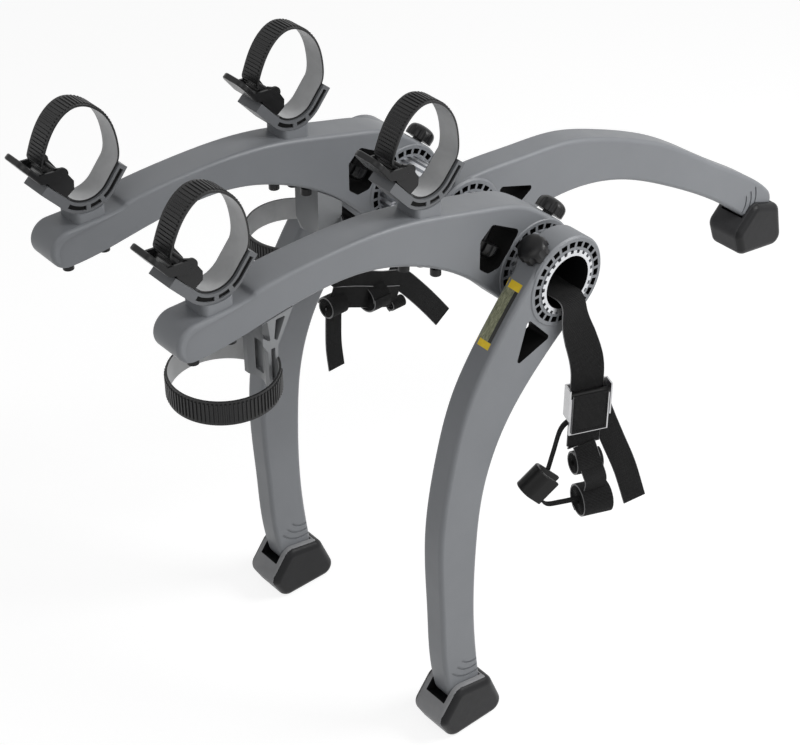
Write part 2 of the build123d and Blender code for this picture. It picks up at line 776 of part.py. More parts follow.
def make_strap(label, x, place_y):
    with BuildPart() as strap:
        with BuildSketch(side_plane(x, y=place_y, z=cradle_height)):
            ends = []
            with BuildLine():
                for shift in (-strap_thickness / 2, strap_thickness / 2):
                    start, round_end, limb_top, free, mouth, end, radius = strap_side(shift)
                    CenterArc(round_centre, radius, strap_start_angle, right_end_angle - strap_start_angle)
                    Line(round_end, limb_top)
                    tangents = (heading(cradle_right_angle), heading(buckle_angle - 180))
                    Spline(limb_top, *free, mouth, tangents=tangents)
                    Line(mouth, end)
                    ends.append((start, end))
                Line(ends[0][0], ends[1][0])
                Line(ends[0][1], ends[1][1])
            make_face()
        extrude(amount=strap_width / 2, both=True)
    save(strap.part, label)


def make_buckle(label, x, place_y):
    """The buckle's body: two cheeks on a floor that sits on the cradle's limb."""
    plane = side_plane(x, y=place_y, z=cradle_height)
    limb_turn = 180 - cradle_left_angle - buckle_angle
    base_end = lever_pivot_along - buckle_start
    foot_drop = base_end * sin(radians(limb_turn)) - seat_gap
    cheek = [
        (buckle_start, 0), (buckle_end, 0), (buckle_end, lever_pivot_up),
        (buckle_end - lever_boss_radius, buckle_height), (buckle_start + lever_boss_radius, buckle_height),
        (buckle_start, lever_pivot_up),
    ]
    floor = [
        (buckle_start, 0), (lever_pivot_along, -foot_drop), (buckle_end, 0), (buckle_end, buckle_floor),
        (buckle_start, buckle_floor),
    ]
    with BuildPart() as body:
        with BuildSketch(plane):
            with BuildLine():
                Polyline(*[buckle_point(*point) for point in cheek], close=True)
            make_face()
        extrude(amount=buckle_width / 2, both=True)
        with BuildSketch(plane):
            with BuildLine():
                Polyline(
                    buckle_point(0, buckle_floor), buckle_point(buckle_end + overrun, buckle_floor),
                    buckle_point(buckle_end + overrun, buckle_height + overrun),
                    buckle_point(0, buckle_height + overrun), close=True,
                )
            make_face()
        extrude(amount=buckle_width / 2 - buckle_cheek, both=True, mode=Mode.SUBTRACT)
        with BuildSketch(plane):
            with BuildLine():
                Polyline(*[buckle_point(*point) for point in floor], close=True)
            make_face()
        extrude(amount=buckle_width / 2, both=True)
        with BuildSketch(plane):
            with Locations(buckle_point(lever_pivot_along, lever_pivot_up)):
                Circle(lever_pin_radius)
        extrude(amount=buckle_width, both=True, mode=Mode.SUBTRACT)
    save(body.part, label)


def make_lever(label, x, place_y):
    """The ratchet's lever: a yoke outside the cheeks and its thumb plate."""
    plane = side_plane(x, y=place_y, z=cradle_height)
    pivot = buckle_point(lever_pivot_along, lever_pivot_up)
    low = buckle_point(lever_plate_start, -lever_plate_drop)
    plate_angle = buckle_angle + lever_splay_angle
    plate_length = lever_plate_end - lever_plate_start
    outer_low = polar(lever_plate_thickness, plate_angle + 90, low)
    yoke_inner = buckle_width / 2 + lever_gap
    yoke_top = polar(lever_boss_radius, buckle_angle, pivot)
    yoke_low = polar(lever_boss_radius, buckle_angle + 140, pivot)
    yoke_far = polar(lever_boss_radius, plate_angle, low)
    plate_origin = (x, place_y + low[0], cradle_height + low[1])
    with BuildPart() as lever:
        for side in (-1, 1):
            with BuildSketch(plane.offset(side * yoke_inner)):
                with BuildLine():
                    Polyline(yoke_top, yoke_far, outer_low, yoke_low, close=True)
                make_face()
                with Locations(pivot):
                    Circle(lever_boss_radius)
                    Circle(lever_pin_radius + running_gap, mode=Mode.SUBTRACT)
            extrude(amount=side * lever_yoke)
        along = (0, *heading(plate_angle))
        through = (0, *heading(plate_angle + 90))
        with BuildSketch(Plane(origin=plate_origin, x_dir=along, z_dir=through)):
            with Locations((plate_length / 2, 0)):
                Rectangle(plate_length, 2 * (yoke_inner + lever_yoke))
            fillet(vertices().group_by(Axis.X)[-1], lever_tip_round)
        extrude(amount=lever_plate_thickness)
        tip_edges = lever.edges().filter_by(GeomType.CIRCLE).filter_by(lambda e: e.radius == lever_tip_round)
        fillet(tip_edges, lever_edge_round)
    save(lever.part, label)


def make_buckle_pins(label, x):
    with BuildPart() as pins:
        for name, place_y in cradle_places:
            with BuildSketch(side_plane(x, y=place_y, z=cradle_height)):
                with Locations(buckle_point(lever_pivot_along, lever_pivot_up)):
                    Circle(lever_pin_radius)
            extrude(amount=buckle_width / 2 + lever_gap + lever_yoke, both=True)
    save(pins.part, label)


def arm_block(x):
    """Everything above the line of an arm's underside."""
    start = polar(drum_radius, arm_under_start_angle)
    top = 2 * arm_rise
    with BuildPart() as block:
        with BuildSketch(side_plane(x)):
            with BuildLine():
                Spline(
                    (tip_start, tip_under), *reversed(arm_points(arm_under_shares)), start,
                    tangents=(heading(0), heading(arm_under_start_angle + 90)),
                )
                Polyline(start, (0, start[1]), (0, top), (tip_start, top), (tip_start, tip_under))
            make_face()
        extrude(amount=sway_bracket_width, both=True)
    return block.part


def sway_loop(x, place_y, place_z, gap):
    """The anti-sway strap's ring, grown on all sides by a gap."""
    with BuildPart() as loop:
        with BuildSketch(Plane.XY.offset(place_z - strap_width - gap)):
            with Locations((x, place_y)):
                Circle(sway_radius + gap)
                Circle(sway_radius - strap_thickness - gap, mode=Mode.SUBTRACT)
        extrude(amount=strap_width + 2 * gap)
    return loop.part


def make_sway(side_name, x, place_y, place_z, outline, holes):
    """The anti-sway bracket under an arm, cut to the arm, and its strap loop."""
    plane = side_plane(x, y=place_y, z=place_z)
    with BuildPart() as bracket:
        with BuildSketch(plane):
            with BuildLine():
                Polyline(*scaled(outline, sway_depth, sway_height), close=True)
            make_face()
        extrude(amount=sway_bracket_width / 2, both=True)
        for shares in holes:
            with BuildSketch(plane):
                with BuildLine():
                    Polyline(*scaled(shares, sway_depth, sway_height), close=True)
                make_face()
                fillet(vertices(), sway_hole_round)
            extrude(amount=sway_bracket_width, both=True, mode=Mode.SUBTRACT)
        # A shallow upright groove for the bike's seat tube
        groove_y = place_y + outline[2][0] * sway_depth + sway_groove_depth - sway_groove_radius
        with BuildSketch(Plane.XY.offset(place_z - sway_height)):
            with Locations((x, groove_y)):
                Circle(sway_groove_radius)
        extrude(amount=2 * sway_height, mode=Mode.SUBTRACT)
        add(sway_loop(x, place_y, place_z, running_gap), mode=Mode.SUBTRACT)
        add(arm_block(x), mode=Mode.SUBTRACT)
    bracket_solid = bracket.part.solids().sort_by(SortBy.VOLUME)[-1]
    save(Part() + bracket_solid, f"sway_bracket_{side_name}")
    save(sway_loop(x, place_y, place_z, 0), f"sway_strap_{side_name}")


for side_name, x in arms:
    make_screws(f"arm_screws_{side_name}", x)
    make_inserts(f"cradle_inserts_{side_name}", x)
    make_buckle_pins(f"buckle_pins_{side_name}", x)
    for name, place_y in cradle_places:
        make_cradle(f"cradle_{side_name}_{name}", x, place_y)
        make_strap(f"ladder_strap_{side_name}_{name}", x, place_y)
        make_buckle(f"ratchet_buckle_{side_name}_{name}", x, place_y)
        make_lever(f"ratchet_lever_{side_name}_{name}", x, place_y)
right_sway_holes = (sway_triangle_shares, sway_slot_shares, sway_lower_slot_shares)
make_sway("right", arm_x, right_sway_y, right_sway_z, right_sway_shares, right_sway_holes)
make_sway("left", -arm_x, left_sway_y, left_sway_z, left_sway_shares, ())


def hang_plane(x, y, turn, out=0.0):
    """An upright plane for hanging webbing. Its x is level and turned from Y, its y is up."""
    level = (sin(radians(turn)), cos(radians(turn)), 0)
    normal = (level[1], -level[0], 0)
    return Plane(origin=(x + out * normal[0], y + out * normal[1], 0), x_dir=level, z_dir=normal)


def make_webbing(side_name, side, run_y, hang, outlines, rolls, sling):
    """Webbing round an anchor pin, out over the tube's lip, and its hanging layers and rolls."""
    half = webbing_thickness / 2
    low = anchor_radius + running_gap + half
    start = side * anchor_place
    path = [
        (start, -low), (start + side * run_slope, -low), (start + side * 2 * run_slope, -run_drop),
        (side * run_reach, -run_drop),
    ]
    with BuildPart() as webbing:
        with BuildSketch(Plane.XZ.offset(-run_y)):
            with BuildLine():
                upper = [(x, z + half) for x, z in path]
                lower = [(x, z - half) for x, z in reversed(path)]
                Polyline(*upper, *lower, close=True)
            make_face()
            with Locations((start, 0)):
                Circle(low + half)
                Circle(low - half, mode=Mode.SUBTRACT)
        extrude(amount=webbing_width / 2, both=True)
        split(bisect_by=hang.offset(side * half), keep=Keep.BOTTOM if side > 0 else Keep.TOP)
        for outline in outlines:
            with BuildSketch(hang):
                with BuildLine():
                    Polyline(*scaled(outline, hang_size, hang_size), close=True)
                make_face()
            extrude(amount=half, both=True)
        for u, v, length, radius in rolls:
            centre = hang.from_local_coords((u * hang_size, v * hang_size, 0))
            with BuildSketch(Plane(origin=centre, x_dir=(0, 0, 1), z_dir=hang.x_dir)):
                Circle(radius * hang_size)
            extrude(amount=length * hang_size / 2, both=True)
        if sling:
            with BuildSketch(hang):
                with BuildLine():
                    Polyline(*scaled(sling, hang_size, hang_size))
                    offset(amount=webbing_thickness, side=Side.LEFT, closed=True)
                make_face()
            extrude(amount=sling_width)
    save(webbing.part, f"webbing_{side_name}")


def make_cam_buckle(side_name, hang):
    """The cam buckle's folded frame behind the webbing and its lever in front."""
    half = webbing_thickness / 2
    wall = cam_wall
    middle = cam_middle_share * hang_size
    top = -cam_top_share * hang_size
    side_u = (cam_width / 2, -cam_width / 2)
    back = -half - wall
    level = Plane(origin=hang.from_local_coords((middle, top, 0)), x_dir=hang.x_dir, z_dir=(0, 0, -1))
    facing = 1 if level.y_dir.dot(hang.z_dir) > 0 else -1
    with BuildPart() as frame:
        with BuildSketch(level):
            with Locations((0, facing * (back + cam_depth / 2))):
                Rectangle(cam_width, cam_depth)
            with Locations((0, facing * (back + wall + cam_depth / 2))):
                Rectangle(cam_width - 2 * wall, cam_depth, mode=Mode.SUBTRACT)
        extrude(amount=cam_length)
        pin_place = hang.from_local_coords((middle, top - cam_pin_drop, cam_pin_out))
        across = Plane(origin=pin_place, x_dir=(0, 0, 1), z_dir=hang.x_dir)
        with BuildSketch(across):
            Circle(cam_pin_radius)
        extrude(amount=cam_width, both=True, mode=Mode.SUBTRACT)
    save(frame.part, f"cam_frame_{side_name}")
    out = 1 if across.y_dir.dot(hang.z_dir) > 0 else -1
    with BuildPart() as lever:
        with BuildSketch(across):
            Circle(cam_hub_radius)
            with Locations((-cam_lever_length / 2, out * (cam_hub_radius - cam_lever_thickness / 2))):
                Rectangle(cam_lever_length, cam_lever_thickness)
            Circle(cam_pin_radius + running_gap, mode=Mode.SUBTRACT)
        extrude(amount=cam_width / 2 - wall - cam_gap, both=True)
    save(lever.part, f"cam_lever_{side_name}")
    return across


def make_hook(side_name, hang, place, angle):
    """A coated flat hook that lies against the webbing."""
    u, v = place[0] * hang_size, place[1] * hang_size
    along = Vector(hang.x_dir) * cos(radians(angle)) + Vector(hang.y_dir) * sin(radians(angle))
    origin = hang.from_local_coords((u, v, 0))
    normal = along.cross(Vector(hang.z_dir))
    outer = hook_inner_radius + hook_thickness
    with BuildPart() as hook:
        with BuildSketch(Plane(origin=origin, x_dir=along, z_dir=normal)):
            with BuildLine():
                Line((0, 0), (hook_reach, 0))
                ThreePointArc((hook_reach, 0), (hook_reach + outer, -outer), (hook_reach, -2 * outer))
                Line((hook_reach, -2 * outer), (hook_reach / 2, -2 * outer))
                Line((hook_reach / 2, -2 * outer), (hook_reach / 2, hook_thickness - 2 * outer))
                Line((hook_reach / 2, hook_thickness - 2 * outer), (hook_reach, hook_thickness - 2 * outer))
                ThreePointArc(
                    (hook_reach, hook_thickness - 2 * outer), (hook_reach + hook_inner_radius, -outer),
                    (hook_reach, -hook_thickness),
                )
                Line((hook_reach, -hook_thickness), (0, -hook_thickness))
                Line((0, -hook_thickness), (0, 0))
            make_face()
        extrude(amount=hook_width / 2, both=True)
        fillet(hook.edges().filter_by(GeomType.CIRCLE), hook_edge_round)
    save(hook.part, f"hook_{side_name}")


right_hang = hang_plane(right_hang_x, right_hang_y, right_hang_turn)
left_hang = hang_plane(left_hang_x, 0.0, 0.0)
make_webbing("right", 1, right_run_y, right_hang, right_webbing_shares, right_roll_shares, sling_shares)
make_webbing("left", -1, 0.0, left_hang, left_webbing_shares, left_roll_shares, ())
pin_planes = [
    make_cam_buckle("right", right_hang),
    make_cam_buckle("left", hang_plane(left_hang_x, 2 * cam_middle_share * hang_size, 180.0)),
]
with BuildPart() as cam_pins:
    for across in pin_planes:
        with BuildSketch(across):
            Circle(cam_pin_radius)
        extrude(amount=cam_width / 2, both=True)
save(cam_pins.part, "cam_pins")
right_hook_out = -(sling_width + hook_gap)
left_hook_out = -(webbing_thickness / 2 + hook_gap)
right_hook_plane = hang_plane(right_hang_x, right_hang_y, right_hang_turn + 180, right_hook_out)
left_hook_plane = hang_plane(left_hang_x, 0.0, 0.0, left_hook_out)
make_hook("right", right_hook_plane, right_hook_share, right_hook_angle)
make_hook("left", left_hook_plane, left_hook_share, left_hook_angle)
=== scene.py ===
import json
import math

import bmesh
import bpy
from mathutils import Matrix, Vector
from mathutils.bvhtree import BVHTree


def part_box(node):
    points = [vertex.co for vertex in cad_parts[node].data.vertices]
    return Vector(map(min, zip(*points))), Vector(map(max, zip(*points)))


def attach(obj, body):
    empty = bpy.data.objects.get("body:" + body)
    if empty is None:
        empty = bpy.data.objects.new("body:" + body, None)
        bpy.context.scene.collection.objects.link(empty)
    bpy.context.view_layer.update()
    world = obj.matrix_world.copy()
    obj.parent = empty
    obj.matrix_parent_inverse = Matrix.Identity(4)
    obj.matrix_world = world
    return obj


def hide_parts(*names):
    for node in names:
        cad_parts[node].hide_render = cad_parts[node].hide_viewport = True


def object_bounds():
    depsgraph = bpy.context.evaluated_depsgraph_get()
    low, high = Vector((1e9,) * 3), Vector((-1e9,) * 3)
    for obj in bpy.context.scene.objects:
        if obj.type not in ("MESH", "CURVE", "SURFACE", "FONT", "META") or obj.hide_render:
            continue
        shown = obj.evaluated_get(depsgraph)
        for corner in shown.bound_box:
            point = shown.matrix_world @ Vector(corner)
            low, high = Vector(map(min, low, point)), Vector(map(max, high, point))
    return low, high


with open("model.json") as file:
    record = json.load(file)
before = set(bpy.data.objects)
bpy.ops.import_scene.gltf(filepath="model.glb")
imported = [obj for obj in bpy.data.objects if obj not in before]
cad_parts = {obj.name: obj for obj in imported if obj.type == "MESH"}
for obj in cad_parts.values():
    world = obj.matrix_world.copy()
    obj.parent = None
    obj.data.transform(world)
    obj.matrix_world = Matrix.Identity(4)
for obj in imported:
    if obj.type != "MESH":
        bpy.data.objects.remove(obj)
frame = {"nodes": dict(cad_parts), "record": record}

cad_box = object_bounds()
nodes = frame["nodes"]
scene = bpy.context.scene
scene.view_settings.view_transform = "Standard"

# Sizes of the solids that the scene follows, in metres and degrees
LOWER_LEG_X = 0.14935
ARM_X = 0.099
LEG_DRUM_WIDTH = 0.030
UPPER_DRUM_WIDTH = 0.036
ARM_DRUM_WIDTH = 0.042
LOWER_LEG_ANGLE = -104.3
LOWER_LEG_CHORD = 0.489
LOWER_LEG_BULGE = 0.102
UPPER_LEG_ANGLE = -19.3
UPPER_LEG_CHORD = 0.521
UPPER_LEG_BULGE = 0.090
LEG_WINDOW_SHARES = ((0.070, 0.42), (0.123, 0.03), (0.176, 0.43))
ARM_REACH = 0.424
ARM_RISE = 0.117
ARM_WINDOW_SHARES = (
    (0.052, 0.41), (0.115, 0.13), (0.15, 0.12), (0.177, 0.20), (0.177, 0.47), (0.14, 0.585),
)
STRAP_WIDTH = 0.025
STRAP_CENTRES = {"front": (-0.377, 0.172), "back": (-0.137, 0.172)}
SWAY_RADIUS = 0.0515
SWAY_LOOPS = (("right", ARM_X, -0.366, 0.033), ("left", -ARM_X, -0.132, -0.002))

# Limits that tell the faces of the bore, the pockets and the windows, a little past the solids' own sizes
BORE_LIMIT = 0.0292
POCKET_LIMITS = (0.0373, 0.0437)
DRUM_FACE_MARGIN = 0.0003
WINDOW_MARGIN = 0.004

# Ridges on the straps
RIDGE_WIDTH = 0.0205
RIDGE_HEIGHT = 0.0011
LADDER_RIDGE_LENGTH = 0.0023
LADDER_RIDGE_PITCH = 0.0034
LADDER_RIDGE_ANGLES = (-12.0, 197.0)
LADDER_SEARCH_STEP = 0.6
LADDER_RIDGE_LOW = 0.160
LEVER_ANGLES = (172.0, 183.0)
LEVER_RIDGE_HEIGHT = 0.0005
SWAY_RIDGE_LENGTH = 0.0024
SWAY_RIDGE_COUNT = 84
SWAY_BARE_ANGLES = (52, 128)

# Webbing
WEB_THICKNESS = 0.0018
WEB_RIB = 0.0011938
WEB_THREAD = 1.2 * WEB_RIB
UV_PER_METRE = 10
BAND_EDGE = 0.0006
ROLL_PITCH = 0.0021
ROLL_THICKNESS = 0.9 * ROLL_PITCH
ROLL_SQUASH = 0.06
ROLL_STEPS = 24
# Rows at a roll's outer end whose edges get the painted highlight
ROLL_HIGHLIGHTED_ROWS = 26
MAIN_WIDTH = 0.037
SLING_WIDTH = 0.0075

# Length of one stripe of a wave texture at scale 1
WAVE_PERIOD = 2 * math.pi / 20


# Camera, at the photograph's place in the frame
CAMERA_PLACE = (1.21435, -1.119, 0.999)
CAMERA_BACK = (0.6132, -0.5277, 0.5878)
LENS_MM = 83.71
SENSOR_MM = 36.0
CAMERA_REACH = 20.0


def place_camera():
    back = Vector(CAMERA_BACK).normalized()
    right = Vector((0, 0, 1)).cross(back).normalized()
    up = back.cross(right)
    camera_data = bpy.data.cameras.new("camera")
    camera = bpy.data.objects.new("camera", camera_data)
    scene.collection.objects.link(camera)
    turn = Matrix((right, up, back)).transposed().to_4x4()
    camera.matrix_world = Matrix.Translation(CAMERA_PLACE) @ turn
    camera_data.lens = LENS_MM
    camera_data.sensor_width = SENSOR_MM
    camera_data.clip_end = CAMERA_REACH
    scene.camera = camera


place_camera()


# Materials
class Shader:
    """A Principled material with its node tree at hand."""

    def __init__(self, name, color, roughness, metallic=0.0):
        self.material = bpy.data.materials.new(name)
        self.material.use_nodes = True
        self.tree = self.material.node_tree
        self.shader = self.tree.nodes["Principled BSDF"]
        self.shader.inputs["Base Color"].default_value = (*color, 1)
        self.shader.inputs["Roughness"].default_value = roughness
        self.shader.inputs["Metallic"].default_value = metallic
        self.place = self.tree.nodes.new("ShaderNodeTexCoord").outputs["Object"]

    def node(self, kind, **inputs):
        made = self.tree.nodes.new(kind)
        for key, value in inputs.items():
            made.inputs[key.replace("_", " ")].default_value = value
        return made

    def link(self, source, target):
        self.tree.links.new(source, target)

    def stretched(self, scale):
        """The object's coordinates, scaled along each axis."""
        mapping = self.node("ShaderNodeMapping", Scale=scale)
        self.link(self.place, mapping.inputs["Vector"])
        return mapping.outputs["Vector"]

    def noise(self, scale, detail, vector=None, roughness=0.5):
        noise = self.node("ShaderNodeTexNoise", Scale=scale, Detail=detail, Roughness=roughness)
        self.link(vector or self.place, noise.inputs["Vector"])
        return noise.outputs["Fac"]

    def stripes(self, vector, direction, pitch, **inputs):
        """Soft stripes over a band's UV, at a pitch in metres."""
        scale = WAVE_PERIOD / pitch / UV_PER_METRE
        wave = self.node("ShaderNodeTexWave", Scale=scale, **inputs)
        wave.bands_direction = direction
        self.link(vector, wave.inputs["Vector"])
        return wave.outputs["Fac"]

    def ramp(self, source, stops):
        ramp = self.tree.nodes.new("ShaderNodeValToRGB")
        elements = ramp.color_ramp.elements
        while len(elements) < len(stops):
            elements.new(0.5)
        for element, (position, color) in zip(elements, stops):
            element.position = position
            element.color = (*color, 1)
        self.link(source, ramp.inputs["Fac"])
        return ramp.outputs["Color"]

    def between(self, source, low, high):
        """A source from 0 to 1, moved to lie between two values."""
        spread = self.node("ShaderNodeMapRange", To_Min=low, To_Max=high)
        self.link(source, spread.inputs["Value"])
        return spread.outputs["Result"]

    def product(self, first, second):
        made = self.tree.nodes.new("ShaderNodeMath")
        made.operation = "MULTIPLY"
        self.link(first, made.inputs[0])
        self.link(second, made.inputs[1])
        return made.outputs["Value"]

    def color(self, source):
        self.link(source, self.shader.inputs["Base Color"])

    def roughness(self, source):
        self.link(source, self.shader.inputs["Roughness"])

    def bump(self, height, strength, distance):
        """A bump on top of the ones already there."""
        bump = self.node("ShaderNodeBump", Strength=strength, Distance=distance)
        self.link(height, bump.inputs["Height"])
        previous = self.shader.inputs["Normal"]
        if previous.is_linked:
            self.link(previous.links[0].from_socket, bump.inputs["Normal"])
        self.link(bump.outputs["Normal"], previous)


def shades(color, spread):
    """Three near shades of one colour, dark to light, as ramp stops."""
    return [
        (0.3, tuple(c * (1 - spread) for c in color)),
        (0.5, color),
        (0.72, tuple(min(1, c * (1 + spread)) for c in color)),
    ]


def moulded(name, color, roughness, grain=0.00006, spread=0.05, specular=0.35):
    """Moulded plastic: slow colour drift, fine pebbled grain, and gloss that varies a little."""
    made = Shader(name, color, roughness)
    drift = made.noise(scale=9, detail=3)
    made.color(made.ramp(drift, shades(color, spread)))
    gloss = made.noise(scale=55, detail=6)
    made.roughness(made.between(gloss, roughness - 0.07, roughness + 0.09))
    pebbles = made.noise(scale=1700, detail=2)
    made.bump(pebbles, strength=0.35, distance=grain)
    waves = made.noise(scale=14, detail=2)
    made.bump(waves, strength=0.25, distance=0.0006)
    made.shader.inputs["Specular IOR Level"].default_value = specular
    return made.material


def rubber(name, color, roughness, grain=0.00012, specular=0.2):
    """Rubber: blotches of dust and wear over a fine grain."""
    made = Shader(name, color, roughness)
    blotches = made.noise(scale=24, detail=5, roughness=0.65)
    made.color(made.ramp(blotches, shades(color, 0.14)))
    gloss = made.noise(scale=120, detail=4)
    made.roughness(made.between(gloss, roughness - 0.08, roughness + 0.06))
    pebbles = made.noise(scale=900, detail=3)
    made.bump(pebbles, strength=0.5, distance=grain)
    made.shader.inputs["Specular IOR Level"].default_value = specular
    return made.material


def metal(name, color, roughness, stretch=(1, 1, 1)):
    """Drawn metal: fine scratches, longer along an axis with a smaller stretch."""
    made = Shader(name, color, roughness, metallic=1.0)
    streaks = made.noise(scale=60, detail=5, vector=made.stretched(stretch))
    made.color(made.ramp(streaks, shades(color, 0.12)))
    made.roughness(made.between(streaks, roughness - 0.08, roughness + 0.14))
    made.bump(streaks, strength=0.25, distance=0.00008)
    return made.material


def woven(name, color):
    """Webbing: ribs across the band, crossed by lengthwise threads, with flecks of stray fibre."""
    made = Shader(name, color, roughness=0.82)
    uv = made.tree.nodes.new("ShaderNodeTexCoord").outputs["UV"]
    ribs = made.stripes(uv, "X", WEB_RIB, Distortion=1.6, Detail=2.0, Detail_Scale=2.0)
    threads = made.stripes(uv, "Y", WEB_THREAD, Distortion=0.8, Detail=1.0)
    weave = made.product(ribs, threads)
    fibre = made.noise(scale=420, detail=3, roughness=0.7)
    flecks = made.product(weave, made.between(fibre, 0.1, 1.9))
    made.color(made.ramp(flecks, [
        (0.0, tuple(c * 0.3 for c in color)),
        (0.35, color),
        (0.95, tuple(c * 5 for c in color)),
    ]))
    made.bump(weave, strength=1.0, distance=0.0006)
    fuzz = made.noise(scale=260, detail=4)
    made.bump(fuzz, strength=0.3, distance=0.0002)
    made.shader.inputs["Sheen Weight"].default_value = 0.05
    made.shader.inputs["Sheen Roughness"].default_value = 0.5
    made.shader.inputs["Specular IOR Level"].default_value = 0.15
    return made.material


grey = moulded("grey_plastic", (0.205, 0.214, 0.228), 0.42, specular=0.4)
cradle_grey = moulded("cradle_grey", (0.135, 0.140, 0.148), 0.4)
bracket_grey = moulded("bracket_grey", (0.235, 0.242, 0.250), 0.42)
black = moulded("black_plastic", (0.007, 0.007, 0.0075), 0.34, grain=0.00008, spread=0.2, specular=0.25)
satin_black = moulded("satin_black", (0.010, 0.010, 0.0105), 0.28, grain=0.00004, spread=0.15, specular=0.25)
# Near black for the pockets and window walls of the grey parts: painted shade in the recesses
pocket_painted_shade = moulded("pocket_painted_shade", (0.006, 0.006, 0.006), 0.6, spread=0.2, specular=0.1)
bore_black = moulded("bore_black", (0.004, 0.004, 0.004), 0.6, specular=0.1)
boot = rubber("boot_rubber", (0.30, 0.302, 0.31), 0.62, specular=0.15)
upper_boot = rubber("upper_boot_rubber", (0.040, 0.040, 0.042), 0.55)
# Near black for the boots' sides and backs: painted shade
boot_painted_shade = rubber("boot_painted_shade", (0.011, 0.011, 0.012), 0.42)
strap_black = rubber("strap_black", (0.013, 0.013, 0.0135), 0.38, grain=0.00005, specular=0.35)
# Pale grey for the straps' inner faces: a painted reflection of the white surroundings on black rubber
strap_painted_reflection = rubber("strap_painted_reflection", (0.47, 0.475, 0.48), 0.38, grain=0.00004)
# Near black for the cradle inserts: painted shade standing in for the depth of the cradle slots
slot_painted_shade = rubber("slot_painted_shade", (0.006, 0.006, 0.006), 0.6, specular=0.1)
coating = rubber("hook_coating", (0.008, 0.008, 0.008), 0.35, grain=0.00005)
tube_metal = metal("tube_metal", (0.66, 0.67, 0.69), 0.3, stretch=(0.05, 1, 1))
steel = metal("steel", (0.56, 0.56, 0.57), 0.28)
web = woven("webbing", (0.0080, 0.0080, 0.0083))
# Light grey on the webbing's edge faces: a painted highlight along the edges
painted_edge_highlight = rubber("webbing_painted_highlight", (0.22, 0.22, 0.225), 0.4, grain=0.00004, specular=0.5)

material_by_slot = {
    "grey_plastic": grey,
    "black_plastic": black,
    "bright_metal": tube_metal,
    "steel": steel,
    "boot_rubber": boot,
    "strap_rubber": strap_black,
    "webbing": web,
    "hook_coating": coating,
}
slot_of = {entry["node"]: entry["material_slot"] for entry in frame["record"]["subparts"]}
for name, node in nodes.items():
    material = material_by_slot[slot_of[name]]
    # The cradle inserts carry painted shade for the deep slots
    if name.startswith("cradle_inserts"):
        material = slot_painted_shade
    elif name.startswith("cradle_"):
        material = cradle_grey
    elif name.startswith("sway_bracket"):
        material = bracket_grey
    elif name.startswith(("ratchet", "buckle_pins", "arm_screws", "foot_pins")):
        material = satin_black
    node.data.materials.clear()
    node.data.materials.append(material)


# Mesh helpers
def smooth_path(points, steps=8):
    """Points along a smooth open curve through the given ones."""
    pts = [Vector(point) for point in points]
    ends = [2 * pts[0] - pts[1]] + pts + [2 * pts[-1] - pts[-2]]
    path = []
    for a, b, c, d in zip(ends, ends[1:], ends[2:], ends[3:]):
        for step in range(steps):
            t = step / steps
            path.append(0.5 * (2 * b + (c - a) * t + (2 * a - 5 * b + 4 * c - d) * t * t
                               + (3 * b - a - 3 * c + d) * t ** 3))
    path.append(pts[-1])
    return path


def heading(path, i):
    """The direction of a path at one of its points."""
    return (path[min(i + 1, len(path) - 1)] - path[max(i - 1, 0)]).normalized()


def band_mesh(mesh, path, across, width, thickness, highlighted_rows=0):
    """A flat band along a path, with bevelled edges.

    Its faces carry the distance along and across it as UV. The direction across and the width may be
    lists along the path. The edges of its last rows, as many as the highlighted rows, get the second
    material: a painted highlight.
    """
    layer = mesh.loops.layers.uv.verify()
    rows = []
    distances = []
    travelled = 0.0
    for i, point in enumerate(path):
        if i:
            travelled += (point - path[i - 1]).length
        distances.append(travelled)
        ahead = heading(path, i)
        side = Vector(across[i] if isinstance(across, list) else across)
        side = (side - side.dot(ahead) * ahead).normalized()
        out = ahead.cross(side)
        half = (width[i] if isinstance(width, list) else width) / 2
        flat = half - BAND_EDGE
        deep = thickness / 2
        ring = [
            (-half, 0), (-flat, deep), (0, deep), (flat, deep),
            (half, 0), (flat, -deep), (0, -deep), (-flat, -deep),
        ]
        rows.append([(mesh.verts.new(point + u * side + v * out), u) for u, v in ring])
    edge_faces = (0, 3, 4, 7)
    sharp_corners = (0, 1, 3, 4, 5, 7)
    for i in range(len(path) - 1):
        for j in range(8):
            k = (j + 1) % 8
            corners = [(rows[i][j], i), (rows[i][k], i), (rows[i + 1][k], i + 1), (rows[i + 1][j], i + 1)]
            face = mesh.faces.new([vert for (vert, u), row in corners])
            face.smooth = True
            if j in edge_faces and i >= len(path) - highlighted_rows:
                face.material_index = 1
            for loop, ((vert, u), row) in zip(face.loops, corners):
                loop[layer].uv = (u * UV_PER_METRE, distances[row] * UV_PER_METRE)
        for j in sharp_corners:
            mesh.edges.get((rows[i][j][0], rows[i + 1][j][0])).smooth = False
    for row in (reversed(rows[0]), rows[-1]):
        face = mesh.faces.new([vert for vert, u in row])
        face.smooth = False


def piece(name, mesh, materials, body):
    """The mesh as a piece of the scene that rides on a body."""
    data = bpy.data.meshes.new(name)
    bmesh.ops.recalc_face_normals(mesh, faces=mesh.faces)
    mesh.to_mesh(data)
    mesh.free()
    made = bpy.data.objects.new(name, data)
    scene.collection.objects.link(made)
    for material in materials:
        data.materials.append(material)
    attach(made, body)
    return made


def surface(node):
    """A node's faces, ready for rays."""
    return BVHTree.FromPolygons(
        [vertex.co for vertex in node.data.vertices],
        [list(polygon.vertices) for polygon in node.data.polygons],
    )


